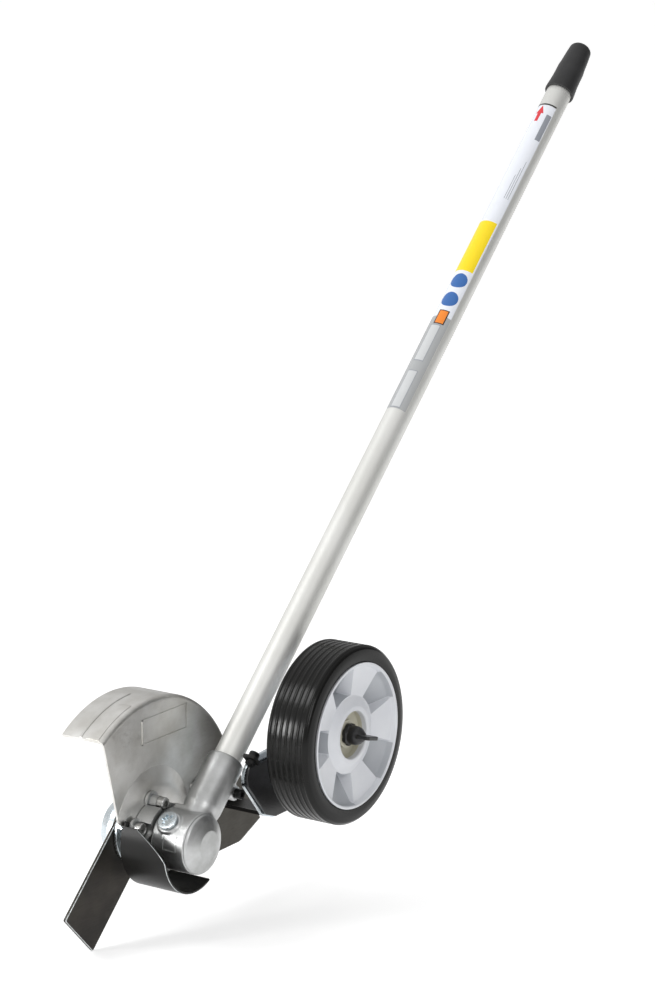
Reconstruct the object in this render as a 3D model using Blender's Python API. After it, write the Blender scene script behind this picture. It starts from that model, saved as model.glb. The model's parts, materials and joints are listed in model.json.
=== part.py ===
"""Lawn edger head on a split boom.

A steel blade turns at the end of a right-angle gear case. An alloy guard covers
the blade, a black skirt wraps the gear head, and a wheel on a slotted bracket
sets the cutting depth. The long tube carries the drive shaft up to a coupling
end, which a rubber cap closes. Head coordinates: the blade axis runs along X
(blade at -X, wheel at +X), the tube leans back towards +Y, and +Z is up. The
world origin is the middle of the tube's coupling end.
"""
import math
import bmesh
import bpy
from mathutils import Matrix, Vector

MM = 0.001
GAP = 0.3                      # clearance kept between touching solids, mm

# ---- driving dimensions, mm -------------------------------------------------
TUBE_LEAN = math.radians(43.2)     # tube above the horizontal
TUBE_R, TUBE_WALL = 12.0, 1.5
TUBE_START, TUBE_END = 38.0, 862.0      # along the tube from the gear centre
SHAFT_R = 4.0
CAP_END = 892.0

BARREL_R, BARREL_LEFT, BARREL_RIGHT = 25.0, -17.0, 15.5
NECK_R, NECK_TOP = 16.0, 78.0
GEAR_TEETH, PINION_TEETH = 18, 12
GEAR_PITCH_R, PINION_PITCH_R = 15.0, 10.0

GUARD_R, GUARD_CENTRE = 115.0, (9.0, -3.0)
GUARD_FACE, GUARD_SHEET, RIM_EDGE = -38.0, 2.0, -80.0
SKIRT_R, SKIRT_SHEET = 42.0, 2.0

BLADE_X, BLADE_LENGTH, BLADE_WIDTH, BLADE_SHEET = -54.0, 203.0, 50.0, 3.0
BLADE_TURN = math.radians(-136.8)
FLANGE_R, CUP_R = 28.0, 26.0

WHEEL_Y, WHEEL_Z = 134.0, 68.0
WHEEL_IN, WHEEL_OUT = 36.0, 80.0
TYRE_R, RIM_R, HUB_R = 76.0, 61.8, 32.5
AXLE_R = 5.0
WING_TURN = math.radians(-14)
SLOT_TRAVEL = 55.0
BRACKET_X, BRACKET_SHEET = 15.0, 3.0
TOP_BOLT_N = -2.0


# ---- scene, frame and materials ---------------------------------------------
for old in list(bpy.data.objects):
    bpy.data.objects.remove(old)

T = Vector((0.0, math.cos(TUBE_LEAN), math.sin(TUBE_LEAN)))      # up the tube
N = Vector((0.0, -math.sin(TUBE_LEAN), math.cos(TUBE_LEAN)))     # across the tube
X = Vector((1.0, 0.0, 0.0))

head = bpy.data.objects.new("head_frame", None)
bpy.context.collection.objects.link(head)
head.location = -T * TUBE_END * MM


def tube_point(s, n=0.0, x=0.0):
    """Point at s along the tube, n across it and x to the side."""
    return T * s + N * n + X * x


def material(name, colour, roughness, metallic):
    found = bpy.data.materials.get(name)
    if found:
        return found
    mat = bpy.data.materials.new(name)
    mat.use_nodes = True
    shader = mat.node_tree.nodes["Principled BSDF"]
    shader.inputs["Base Color"].default_value = (*colour, 1.0)
    shader.inputs["Roughness"].default_value = roughness
    shader.inputs["Metallic"].default_value = metallic
    return mat


FINISH = {
    "boom": material("anodised_aluminium", (0.68, 0.68, 0.66), 0.35, 1.0),
    "casting": material("blasted_cast_aluminium", (0.42, 0.43, 0.43), 0.45, 1.0),
    "guard": material("satin_aluminium_sheet", (0.45, 0.44, 0.41), 0.5, 1.0),
    "black_metal": material("black_painted_steel", (0.02, 0.02, 0.02), 0.45, 0.0),
    "blade": material("dark_tempered_steel", (0.05, 0.045, 0.04), 0.45, 1.0),
    "zinc": material("zinc_plated_steel", (0.55, 0.6, 0.62), 0.3, 1.0),
    "steel": material("ground_steel", (0.4, 0.4, 0.4), 0.3, 1.0),
    "black_screw": material("black_oxide_steel", (0.02, 0.02, 0.02), 0.4, 1.0),
    "rubber": material("black_rubber", (0.03, 0.03, 0.03), 0.7, 0.0),
    "tyre": material("tyre_rubber", (0.035, 0.035, 0.032), 0.55, 0.0),
    "wheel": material("pale_moulded_plastic", (0.58, 0.59, 0.6), 0.45, 0.0),
    "knob": material("black_nylon", (0.015, 0.015, 0.015), 0.4, 0.0),
    "bronze": material("sintered_bronze", (0.45, 0.28, 0.12), 0.5, 1.0),
}


# ---- mesh builders ----------------------------------------------------------
def place(name, bm, finish):
    """Turn a bmesh in head millimetres into a named object on the head."""
    bmesh.ops.scale(bm, vec=(MM, MM, MM), verts=bm.verts)
    bmesh.ops.recalc_face_normals(bm, faces=bm.faces)
    mesh = bpy.data.meshes.new(name)
    bm.to_mesh(mesh)
    bm.free()
    mesh.shade_smooth()
    mesh.set_sharp_from_angle(angle=math.radians(35))
    mesh.materials.append(FINISH[finish])
    obj = bpy.data.objects.new(name, mesh)
    bpy.context.collection.objects.link(obj)
    obj.parent = head
    return obj


def axis_frame(origin, axis):
    """Matrix whose local X lies along axis, at origin."""
    axis = Vector(axis).normalized()
    side = axis.orthogonal().normalized()
    if abs(axis.x) < 0.5:
        side = X.copy()
    up = axis.cross(side)
    turn = Matrix((axis, side, up)).transposed()
    return Matrix.Translation(Vector(origin)) @ turn.to_4x4()


def bridge_rings(bm, rings, closed):
    """Join rings of equal count into a skin; a single-vertex ring is a pole."""
    pairs = list(zip(rings, rings[1:]))
    if closed:
        pairs.append((rings[-1], rings[0]))
    for low, high in pairs:
        count = max(len(low), len(high))
        for i in range(count):
            j = (i + 1) % count
            if len(low) == 1:
                bm.faces.new((low[0], high[j], high[i]))
            elif len(high) == 1:
                bm.faces.new((low[i], low[j], high[0]))
            else:
                bm.faces.new((low[i], low[j], high[j], high[i]))


def turned(name, profile, finish, origin=(0, 0, 0), axis=X, sides=32):
    """Turned solid: profile of (along, radius) points about an axis.

    A profile whose ends lie on the axis makes a solid; any other one is closed
    on itself and makes a ring with a bore.
    """
    frame = axis_frame(origin, axis)
    bm = bmesh.new()
    rings = []
    for along, radius in profile:
        if radius == 0:
            rings.append([bm.verts.new(frame @ Vector((along, 0, 0)))])
            continue
        ring = []
        for i in range(sides):
            a = 2 * math.pi * (i + 0.5) / sides
            point = Vector((along, radius * math.cos(a), radius * math.sin(a)))
            ring.append(bm.verts.new(frame @ point))
        rings.append(ring)
    bridge_rings(bm, rings, closed=profile[0][1] != 0)
    return place(name, bm, finish)


def rod(name, start, end, radius, finish, origin=(0, 0, 0), axis=X, sides=20):
    """Plain round bar between two places along an axis."""
    return turned(name, [(start, 0), (start, radius), (end, radius), (end, 0)],
                  finish, origin, axis, sides)


def ring(name, start, end, bore, radius, finish, origin=(0, 0, 0), axis=X, sides=24):
    """Plain round ring."""
    profile = [(start, bore), (start, radius), (end, radius), (end, bore)]
    return turned(name, profile, finish, origin, axis, sides)


def prism(name, outline, x_from, x_to, finish):
    """Flat outline of (y, z) points pushed along X."""
    bm = bmesh.new()
    low = [bm.verts.new((x_from, y, z)) for y, z in outline]
    high = [bm.verts.new((x_to, y, z)) for y, z in outline]
    bm.faces.new(low)
    bm.faces.new(high[::-1])
    for i in range(len(outline)):
        j = (i + 1) % len(outline)
        bm.faces.new((low[i], high[i], high[j], low[j]))
    return place(name, bm, finish)


def arc(centre, radius, start, end, steps):
    """Points on an arc, angles in degrees from +Y towards +Z."""
    points = []
    for i in range(steps + 1):
        a = math.radians(start + (end - start) * i / steps)
        points.append((centre[0] + radius * math.cos(a), centre[1] + radius * math.sin(a)))
    return points


def helper(obj):
    """Mark a solid as a cutter or an added shape, not a part."""
    obj.hide_render = True
    obj.display_type = "WIRE"
    return obj


def combine(obj, other, operation):
    modifier = obj.modifiers.new(operation.lower(), "BOOLEAN")
    modifier.operation = operation
    modifier.object = helper(other)


def cut(obj, other):
    combine(obj, other, "DIFFERENCE")


def add(obj, other):
    combine(obj, other, "UNION")


def socket_screw(name, head_base, shank_end, head_r, head_h, shank_r, origin, axis, finish):
    """Cap screw: head above head_base, shank down to shank_end, small socket in the head."""
    top = head_base + head_h
    profile = [(shank_end, 0), (shank_end, shank_r), (head_base, shank_r), (head_base, head_r),
               (top - 0.6, head_r), (top, head_r - 0.6), (top, head_r * 0.48),
               (top - head_h * 0.5, head_r * 0.48), (top - head_h * 0.5, 0)]
    return turned(name, profile, finish, origin, axis, sides=12)


def hex_nut(name, start, end, bore, across, finish, origin, axis):
    """Hexagon nut: a six-sided ring around a round bore, joined corner to corner."""
    frame = axis_frame(origin, axis)
    bm = bmesh.new()
    corner = across / math.sqrt(3)
    rings = []
    for along, kind in ((start, "bore"), (start, "hex"), (end, "hex"), (end, "bore")):
        loop = []
        for i in range(12):
            a = 2 * math.pi * i / 12
            to_flat = (a + math.pi / 6) % (math.pi / 3) - math.pi / 6
            radius = bore if kind == "bore" else corner * math.cos(math.pi / 6) / math.cos(to_flat)
            loop.append(bm.verts.new(frame @ Vector((along, radius * math.cos(a), radius * math.sin(a)))))
        rings.append(loop)
    bridge_rings(bm, rings, closed=True)
    return place(name, bm, finish)


def bevel_gear(name, teeth, pitch_r, mate_r, sleeves, finish, axis, phase):
    """Straight bevel gear whose teeth all point at the shaft crossing.

    sleeves are (along, radius) circles, from the bore behind the gear to the rim.
    """
    cone = math.atan2(pitch_r, mate_r)
    reach = math.hypot(pitch_r, mate_r)
    module = 2 * pitch_r / teeth
    tip = cone + math.atan(0.75 * module / reach)
    root = cone - math.atan(1.3 * module / reach)
    frame = axis_frame((0, 0, 0), axis)
    bm = bmesh.new()
    count = teeth * 4

    def circle(along, radius):
        loop = []
        for i in range(count):
            a = 2 * math.pi * (i + 0.5) / count + phase
            loop.append(bm.verts.new(frame @ Vector((along, radius * math.cos(a), radius * math.sin(a)))))
        return loop

    def star(distance):
        loop = []
        share = (0.28, 0.39, 0.61, 0.72)            # where a tooth rises and falls in its pitch
        for i in range(count):
            a = 2 * math.pi * (i // 4 + share[i % 4] - 0.5) / teeth + phase
            slope = root if i % 4 in (0, 3) else tip
            radius = distance * math.sin(slope)
            loop.append(bm.verts.new(frame @ Vector((distance * math.cos(slope), radius * math.cos(a),
                                                     radius * math.sin(a)))))
        return loop

    rings = [circle(along, radius) for along, radius in sleeves]
    rings.append(star(reach))
    rings.append(star(reach * 0.68))
    bore = sleeves[0][1]
    if bore == 0:
        raise ValueError("a gear needs a bore")
    rings.append(circle(reach * 0.66 * math.cos(cone), bore))
    bridge_rings(bm, rings, closed=True)
    return place(name, bm, finish)


# ---- boom: tube, cap, drive shaft and bushings ------------------------------
def build_boom():
    ring("tube", TUBE_START, TUBE_END, TUBE_R - TUBE_WALL, TUBE_R, "boom", axis=T, sides=32)
    inner = TUBE_R + GAP
    turned("tube_end_cap", [
        (CAP_END, 0), (CAP_END, 8.6), (889.5, 10.6), (880, 11.5), (868, 12.3), (864, 12.9),
        (850, 13.1), (845, 13.4), (836, 14.2), (832, 14.3), (832, inner),
        (TUBE_END + 1, inner), (TUBE_END + 1, 9.6), (CAP_END - 3, 8.0), (CAP_END - 3, 0)],
        "rubber", axis=T, sides=24)
    turned("drive_shaft", [
        (33, 0), (33, 2.8), (44, 2.8), (44, SHAFT_R), (TUBE_END - 4, SHAFT_R),
        (TUBE_END - 4, 3.0), (TUBE_END + 16, 3.0), (TUBE_END + 18, 2.2), (TUBE_END + 18, 0)],
        "steel", axis=T, sides=16)
    for i in range(4):
        middle = 160 + 190 * i
        ring(f"shaft_bushing_{i + 1}", middle - 12, middle + 12, SHAFT_R + GAP,
             TUBE_R - TUBE_WALL - GAP, "bronze", axis=T, sides=16)


# ---- gear case --------------------------------------------------------------
PLUG_TURN = math.radians(40)
PLUG_AXIS = Vector((0.0, -math.sin(PLUG_TURN), math.cos(PLUG_TURN)))
PLUG_X = -4.0
CLAMP_S, CLAMP_N = 58.0, -16.0


def build_gear_case():
    """One casting: barrel along X, neck up the tube, nose through the guard."""
    case = turned("gear_case", [
        (BARREL_RIGHT, 0), (BARREL_RIGHT, BARREL_R - 0.5), (BARREL_RIGHT - 0.5, BARREL_R),
        (BARREL_LEFT, BARREL_R), (BARREL_LEFT, 20.0), (-34.0, 20.0), (-34.0, 14.5),
        (-42.0, 14.5), (-42.0, 0)], "casting", sides=36)
    add(case, turned("neck_shape", [
        (2, 0), (2, 15.2), (27, 15.2), (32, NECK_R), (NECK_TOP - 1, NECK_R),
        (NECK_TOP, NECK_R - 1), (NECK_TOP, 0)], "casting", axis=T, sides=28))
    shoulder = [tuple(tube_point(s, n).yz) for s, n in ((4, -13), (25, -13), (25, 14.4), (4, 14.4))]
    add(case, prism("shoulder_shape", shoulder, BARREL_LEFT + 0.2, 0.0, "casting"))
    add(case, turned("plug_boss_shape", [
        (17, 0), (17, 11.0), (26.5, 10.0), (26.5, 0)], "casting",
        origin=X * PLUG_X, axis=PLUG_AXIS, sides=20))
    add(case, turned("clamp_ear_shape", [
        (-9, 0), (-9, 6.5), (12.5, 6.5), (12.5, 0)], "casting",
        origin=tube_point(CLAMP_S, CLAMP_N), axis=X, sides=18))
    # hollows
    cut(case, turned("output_bore", [
        (BARREL_RIGHT + 5, 0), (BARREL_RIGHT + 5, 18.0), (-16.5, 18.0), (-16.5, 16.3),
        (-28.0, 16.3), (-28.0, 8.0), (-35.0, 8.0), (-35.0, 12.3), (-50.0, 12.3), (-50.0, 0)],
        "casting", sides=32))
    cut(case, rod("neck_bore", 6, NECK_TOP + 10, TUBE_R + GAP, "casting", axis=T, sides=32))
    cut(case, rod("plug_bore", 10, 40, 6.0, "casting", X * PLUG_X, PLUG_AXIS, 16))
    cut(case, rod("clamp_bore", -20, 20, 2.9, "casting", tube_point(CLAMP_S, CLAMP_N), X, 12))
    cut(case, rod("clamp_head_relief", 12.5, 30, 5.3, "casting", tube_point(CLAMP_S, CLAMP_N), X, 16))
    slot = prism("clamp_split", [
        tuple(tube_point(s, n).yz) for s, n in
        ((44, -8), (NECK_TOP + 5, -8), (NECK_TOP + 5, -26), (44, -26))], -1.0, 1.0, "casting")
    cut(case, slot)
    cut(case, rod("locating_bore", -20, -10, 2.3, "casting", tube_point(48, 0), X, 12))

    turned("case_end_cap", [
        (24.0, 0), (24.0, 12.5), (23.0, 14.5), (20.5, 20.0), (18.0, 24.0), (15.8, BARREL_R),
        (15.8, 17.7), (12.6, 17.7), (12.6, 13.3), (21.0, 13.3), (21.0, 0)], "casting", sides=32)
    turned("filler_plug", [
        (18.6, 0), (18.6, 5.6), (26.8, 5.6), (26.8, 8.3), (29.0, 8.3), (29.6, 7.7), (29.6, 3.4),
        (27.4, 3.4), (27.4, 0)], "zinc", X * PLUG_X, PLUG_AXIS, 16)
    socket_screw("tube_clamp_bolt", 12.8, -13.0, 4.3, 6.0, 2.5,
                 tube_point(CLAMP_S, CLAMP_N), X, "black_screw")
    turned("locating_screw", [
        (-19.0, 0), (-19.0, 3.6), (-16.4, 3.6), (-16.4, 1.9), (-12.4, 1.9), (-12.4, 0)],
        "steel", tube_point(48, 0), X, 12)


# ---- drive train ------------------------------------------------------------
def bearing(name, start, end, bore, radius, origin, axis):
    """A ball bearing's two rings, with a running gap between them."""
    middle = (bore + radius) / 2
    ring(f"{name}_inner", start + 0.4, end - 0.4, bore, middle - 0.4, "steel", origin, axis, 16)
    ring(f"{name}_outer", start, end, middle + 0.4, radius, "steel", origin, axis, 20)


def build_drive():
    zero = Vector((0, 0, 0))
    bevel_gear("input_pinion", PINION_TEETH, PINION_PITCH_R, GEAR_PITCH_R, [
        (41.0, 3.3), (41.0, 5.7), (19.6, 5.7), (19.6, 7.6), (18.0, 7.6)], "steel", T, 0.0)
    for i, start in enumerate((20.0, 29.0)):
        bearing(f"pinion_bearing_{i + 1}", start, start + 6.0, 6.0, 12.0, zero, T)
    ring("retaining_ring", 36.0, 37.2, 9.8, 12.0, "steel", zero, T, 16)
    bevel_gear("output_gear", GEAR_TEETH, GEAR_PITCH_R, PINION_PITCH_R, [
        (16.8, 6.3), (16.8, 9.0), (12.6, 9.0), (12.6, 12.0)], "steel", -X,
        math.pi / GEAR_TEETH)
    turned("output_shaft", [
        (20.4, 0), (20.4, 5.0), (12.4, 5.0), (12.4, 6.0), (-76.0, 6.0), (-77.0, 5.0), (-77.0, 0)],
        "steel", sides=20)
    bearing("nose_bearing", -27.5, -17.5, 6.3, 16.0, zero, X)
    bearing("end_bearing", 13.0, 20.6, 5.3, 13.0, zero, X)
    turned("oil_seal", [
        (-41.5, 6.9), (-41.5, 12.0), (-35.4, 12.0), (-35.4, 6.4), (-36.4, 6.4), (-36.4, 10.5),
        (-40.3, 10.5), (-40.3, 6.9)], "rubber", sides=16)


# ---- guard ------------------------------------------------------------------
GUARD_SCREWS = {                # place (y, z) of each screw, and how high its ear stands
    "upper": ((-1.5, 28.5), -34.2),
    "lower": ((-26.2, 12.6), -31.9),
    "rear": ((7.5, -28.0), -31.9),
}
EAR_THICK, EAR_R = 2.4, 8.2
BRACKET_SCREWS = ((74.0, 18.0), (98.0, 18.0))
DISH_FACE = -34.6


def guard_lower_edge():
    """Front and bottom of the guard plate, cut away so the blade stack stays open."""
    return arc((0, 0), 31.0, 270, 180, 8) + [(-31.0, 11.0), (-38.5, 18.5)]


def guard_outline():
    """Arc over the blade, a straight tail that leaves it as a tangent, then the bottom."""
    leave = math.radians(32)
    tail_y = GUARD_CENTRE[0] + GUARD_R * math.cos(leave) + 108 * math.sin(leave)
    tail_z = GUARD_CENTRE[1] + GUARD_R * math.sin(leave) - 108 * math.cos(leave)
    points = arc(GUARD_CENTRE, GUARD_R, 125, 32, 24)
    return points + [(tail_y, tail_z), (137.0, -45.0), (2.0, -45.0)] + guard_lower_edge()


def guard_space_outline():
    """The space under the guard: inside the rim, and open at the front and bottom."""
    leave = math.radians(32)
    inside = GUARD_R - GUARD_SHEET
    corner_y = GUARD_CENTRE[0] + inside * math.cos(leave) + 160 * math.sin(leave)
    corner_z = GUARD_CENTRE[1] + inside * math.sin(leave) - 160 * math.cos(leave)
    points = arc(GUARD_CENTRE, inside, 135, 32, 26)
    return points + [(corner_y, corner_z), (-140.0, corner_z), (-140.0, 60.0)]


def build_guard():
    guard = prism("guard", guard_outline(), RIM_EDGE, GUARD_FACE, "guard")
    cut(guard, prism("guard_space", guard_space_outline(), RIM_EDGE - 5,
                     GUARD_FACE - GUARD_SHEET, "guard"))
    dish = turned("guard_dish", [
        (GUARD_FACE - 1.5, 0), (GUARD_FACE - 1.5, 48.0), (DISH_FACE, 44.5), (DISH_FACE, 0)],
        "guard", origin=(0, 6.0, 5.0), sides=40)
    trim = [(-60, -60), (60, -60), (60, -44.5), (2.5, -44.5)] + guard_lower_edge() + [(-60, 60)]
    cut(dish, prism("dish_trim", trim, -60, -20, "guard"))
    add(guard, dish)
    cut(guard, rod("nose_hole", -60, -20, 14.8, "guard", sides=28))
    for name, ((y, z), _) in GUARD_SCREWS.items():
        cut(guard, rod(f"guard_hole_{name}", -60, -20, 3.3, "guard", (0, y, z), X, 12))
    for i, (y, z) in enumerate(BRACKET_SCREWS):
        cut(guard, rod(f"bracket_hole_{i}", -60, -20, 2.9, "guard", (0, y, z), X, 12))

    collar = ring("guard_collar", -34.2, -18.6, 20.4, 28.0, "casting", sides=32)
    for name, ((y, z), base) in GUARD_SCREWS.items():
        centre = (0, y, z)
        top = base + EAR_THICK
        add(collar, rod(f"collar_ear_{name}", base, top, EAR_R, "casting", centre, X, 20))
        cut(collar, rod(f"collar_relief_{name}", top, -10, 6.4, "casting", centre, X, 16))
        cut(collar, rod(f"collar_hole_{name}", -60, -10, 3.3, "casting", centre, X, 12))
        sleeve = 7.2 if name == "upper" else 0.0
        socket_screw(f"guard_screw_{name}", top + GAP + sleeve, -45.5, 5.2, 6.0, 2.9, centre, X,
                     "zinc")
        hex_nut(f"guard_nut_{name}", -45.0, -40.9, 3.3, 10.0, "zinc", centre, X)
        if sleeve:
            ring("guard_screw_sleeve", top + GAP, top + sleeve, 3.3, 5.5, "zinc", centre, X, 16)
    cut(collar, rod("collar_bore", -60, -10, 20.4, "casting", sides=32))


def skirt_edge(angle):
    """Right edge of the skirt, mm along X: full width below, rounded off at the front top."""
    if angle > -80:
        return 10.0
    drop = min(1.0, (-80 - angle) / 35.0)
    return 10.0 - 32.0 * drop ** 1.5


def build_skirt():
    """Black shell around the lower half of the gear head, angle 0 straight down."""
    bm = bmesh.new()
    first, last, steps = -114, 27, 26
    outer, inner, left = SKIRT_R, SKIRT_R - SKIRT_SHEET, DISH_FACE + GAP
    columns = []
    for i in range(steps + 1):
        angle = first + (last - first) * i / steps
        a = math.radians(angle)
        right = skirt_edge(angle)
        column = []
        for radius, x in ((outer, left), (outer, right), (inner, right), (inner, left)):
            column.append(bm.verts.new((x, radius * math.sin(a), -radius * math.cos(a))))
        columns.append(column)
    for low, high in zip(columns, columns[1:]):
        for k in range(4):
            m = (k + 1) % 4
            bm.faces.new((low[k], low[m], high[m], high[k]))
    bm.faces.new(columns[0])
    bm.faces.new(columns[-1][::-1])
    skirt = place("gear_head_skirt", bm, "black_metal")
    for name, start, end in (("lower", 150, 166), ("rear", 276, 294)):
        tab = arc((0, 0), 41.2, start, end, 5) + arc((0, 0), 28.4, end, start, 5)
        add(skirt, prism(f"{name}_tab", tab, left, left + 2.0, "black_metal"))
        y, z = GUARD_SCREWS[name][0]
        cut(skirt, rod(f"{name}_tab_hole", -60, -20, 3.3, "black_metal", (0, y, z), X, 12))


# ---- blade stack ------------------------------------------------------------
def build_blade():
    front = BLADE_X + BLADE_SHEET / 2
    back = BLADE_X - BLADE_SHEET / 2
    turned("inner_flange", [
        (front + 0.3, 6.3), (front + 0.3, FLANGE_R), (front + 2.8, FLANGE_R),
        (front + 3.6, FLANGE_R - 1.5), (front + 3.6, 11.0), (-43.0, 9.5), (-43.0, 6.3)],
        "zinc", sides=28)
    half, wide, chamfer = BLADE_LENGTH / 2, BLADE_WIDTH / 2, 1.0
    outline = []
    for sy, sz in ((1, 1), (-1, 1), (-1, -1), (1, -1)):
        near = (sy * half, sz * (wide - chamfer))
        far = (sy * (half - chamfer), sz * wide)
        outline += [near, far] if sy * sz > 0 else [far, near]
    c, s = math.cos(BLADE_TURN), math.sin(BLADE_TURN)
    outline = [(y * c - z * s, y * s + z * c) for y, z in outline]
    blade = prism("blade", outline, back, front, "blade")
    cut(blade, rod("blade_bore", -70, -40, 6.4, "blade", sides=20))
    turned("outer_cup", [
        (back - 0.3, CUP_R), (back - 6.0, CUP_R), (back - 13.5, CUP_R - 3.0),
        (back - 14.5, CUP_R - 4.2), (back - 14.5, CUP_R - 6.0), (back - 5.0, CUP_R - 4.5),
        (back - 3.3, CUP_R - 6.0), (back - 3.3, 6.4), (back - 0.3, 6.4)], "zinc", sides=28)
    hex_nut("blade_nut", back - 14.0, back - 3.7, 6.3, 19.0, "zinc", (0, 0, 0), X)


# ---- wheel ------------------------------------------------------------------
def slotted(obj, name, half_width, x_from, x_to):
    """Cut the depth slot: a long hole with round ends that runs straight down."""
    top = arc((WHEEL_Y, WHEEL_Z), half_width, 0, 180, 10)
    bottom = arc((WHEEL_Y, WHEEL_Z - SLOT_TRAVEL), half_width, 180, 360, 10)
    cut(obj, prism(name, top + bottom, x_from, x_to, "zinc"))


def bracket_outline():
    """Slotted leg: round nose by the tube, deep plate behind the wheel."""
    points = arc((72.0, 39.0), 15.0, 204, 125, 8)
    points += [(72.0, 55.0), (104.0, 57.0), (116.0, 88.0), (120.0, 91.0), (148.0, 91.0), (152.0, 87.0)]
    return points + [(152.0, 2.0), (146.0, -4.0), (98.0, -4.0), (84.0, 1.0)]


def build_bracket():
    bracket = prism("wheel_bracket", bracket_outline(), BRACKET_X, BRACKET_X + BRACKET_SHEET, "zinc")
    web = [(84.0, 1.0), (98.0, -4.0), (118.0, -4.0), (118.0, -1.0), (98.6, -1.0), (85.0, 3.8)]
    add(bracket, prism("bracket_web", web, GUARD_FACE + GAP, BRACKET_X + 1.0, "zinc"))
    foot = [(66.0, 27.0), (66.0, 10.0), (86.0, 1.5), (98.0, -3.0), (110.0, -3.0), (110.0, 20.0),
            (102.0, 27.0)]
    add(bracket, prism("bracket_foot", foot, GUARD_FACE + GAP, GUARD_FACE + GAP + 3.0, "zinc"))
    flange = [tuple(tube_point(s, n).yz) for s, n in ((83, 3), (86, 3), (86, -8), (83, -8))]
    add(bracket, prism("bracket_flange", flange, BRACKET_X + 0.5, BRACKET_X + 11.5, "zinc"))
    bolt = tube_point(0, TOP_BOLT_N, BRACKET_X + 7.0)
    cut(bracket, rod("top_bolt_hole", 82, 90, 2.9, "zinc", bolt, T, 12))
    socket_screw("bracket_top_bolt", 86.3, 79.0, 4.5, 4.2, 2.5, bolt, T, "black_screw")
    hex_nut("bracket_top_nut", 79.3, 82.7, 2.9, 7.5, "black_screw", bolt, T)
    slotted(bracket, "bracket_slot", AXLE_R + 0.5, 0, 40)
    for i, (y, z) in enumerate(BRACKET_SCREWS):
        cut(bracket, rod(f"foot_hole_{i}", -60, -20, 2.9, "zinc", (0, y, z), X, 12))
        socket_screw(f"bracket_screw_{i + 1}", GUARD_FACE + 3.6, -45.0, 4.5, 4.0, 2.5,
                     (0, y, z), X, "black_screw")
        hex_nut(f"bracket_nut_{i + 1}", -44.6, -40.9, 2.9, 8.0, "zinc", (0, y, z), X)

    pad = prism("glide_pad", arc((72.0, 39.0), 14.2, 204, 125, 8) + [
        (74.0, 49.0), (104.0, 50.0), (116.0, 84.0), (150.0, 84.0), (150.0, 3.0), (145.0, -3.0),
        (98.5, -3.0), (85.0, 2.2)],
        BRACKET_X + BRACKET_SHEET + GAP, BRACKET_X + BRACKET_SHEET + 3.0, "knob")
    slotted(pad, "pad_slot", AXLE_R + 0.5, 0, 40)


def build_wheel():
    centre = Vector((0.0, WHEEL_Y, WHEEL_Z))
    turned("axle_bolt", [
        (BRACKET_X - 5.0, 0), (BRACKET_X - 5.0, 6.0), (BRACKET_X - 3.2, 9.0),
        (BRACKET_X - GAP, 9.0), (BRACKET_X - GAP, AXLE_R), (81.0, AXLE_R), (82.0, 4.2), (82.0, 0)],
        "zinc", centre, X, 24)
    pad_face = BRACKET_X + BRACKET_SHEET + 3.0 + GAP
    turned("wheel_spacer", [
        (pad_face, AXLE_R + GAP), (pad_face, 11.0), (pad_face + 3.0, 11.0), (pad_face + 5.0, 8.0),
        (67.4, 8.0), (67.4, AXLE_R + GAP)], "steel", centre, X, 24)
    ring("wheel_bush", WHEEL_IN - 6.0, 66.8, 8.3, 10.5, "bronze", centre, X, 28)

    disc = turned("wheel_disc", [
        (WHEEL_IN - 5.0, 10.8), (WHEEL_IN - 5.0, 15.0), (WHEEL_IN + 12.0, 15.5), (WHEEL_IN + 14.0, 52.0),
        (WHEEL_IN + 4.0, 55.5), (WHEEL_IN + 4.0, 58.5), (WHEEL_OUT - 1.0, 60.5),
        (WHEEL_OUT, RIM_R), (WHEEL_OUT, RIM_R - 2.0), (76.0, 57.5), (71.5, HUB_R), (75.5, 24.0),
        (75.5, 20.5), (66.0, 20.0), (66.0, 10.8)], "wheel", centre, X, 40)
    for i in range(5):
        middle = math.radians(36 + 72 * i)
        pocket = []
        for radius, spread in ((34.5, 19.0), (56.5, 17.0), (56.5, 6.0), (56.5, -6.0),
                               (56.5, -17.0), (34.5, -19.0)):
            a = middle + math.radians(spread)
            pocket.append((WHEEL_Y + radius * math.cos(a), WHEEL_Z + radius * math.sin(a)))
        cut(disc, prism(f"pocket_{i}", pocket, 58.0, 90.0, "wheel"))

    turned("tyre", [
        (WHEEL_IN + 4.0, 58.9), (WHEEL_IN + 0.5, 62.0), (WHEEL_IN, 66.0),
        (WHEEL_IN + 1.0, TYRE_R - 3.0), (WHEEL_IN + 3.5, TYRE_R), (WHEEL_OUT - 4.5, TYRE_R),
        (WHEEL_OUT - 2.0, TYRE_R - 2.5), (WHEEL_OUT - 1.0, 68.0), (WHEEL_OUT - 1.3, 62.4),
        (WHEEL_OUT - 2.0, 60.8)], "tyre", centre, X, 48)

    ring("hub_washer", 67.7, 69.2, AXLE_R + GAP, 12.0, "zinc", centre, X, 16)
    knob = turned("wing_knob", [
        (86.0, 0), (86.0, 3.4), (84.5, 4.6), (81.8, 6.9), (79.0, 7.9), (74.0, 8.2),
        (73.0, 9.6), (70.0, 9.9), (69.5, 9.6), (69.5, 0)], "knob", centre, X, 20)
    add(knob, knob_wing(centre))
    cut(knob, rod("knob_thread", 60, 82.4, AXLE_R + GAP, "knob", centre, X, 20))


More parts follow.
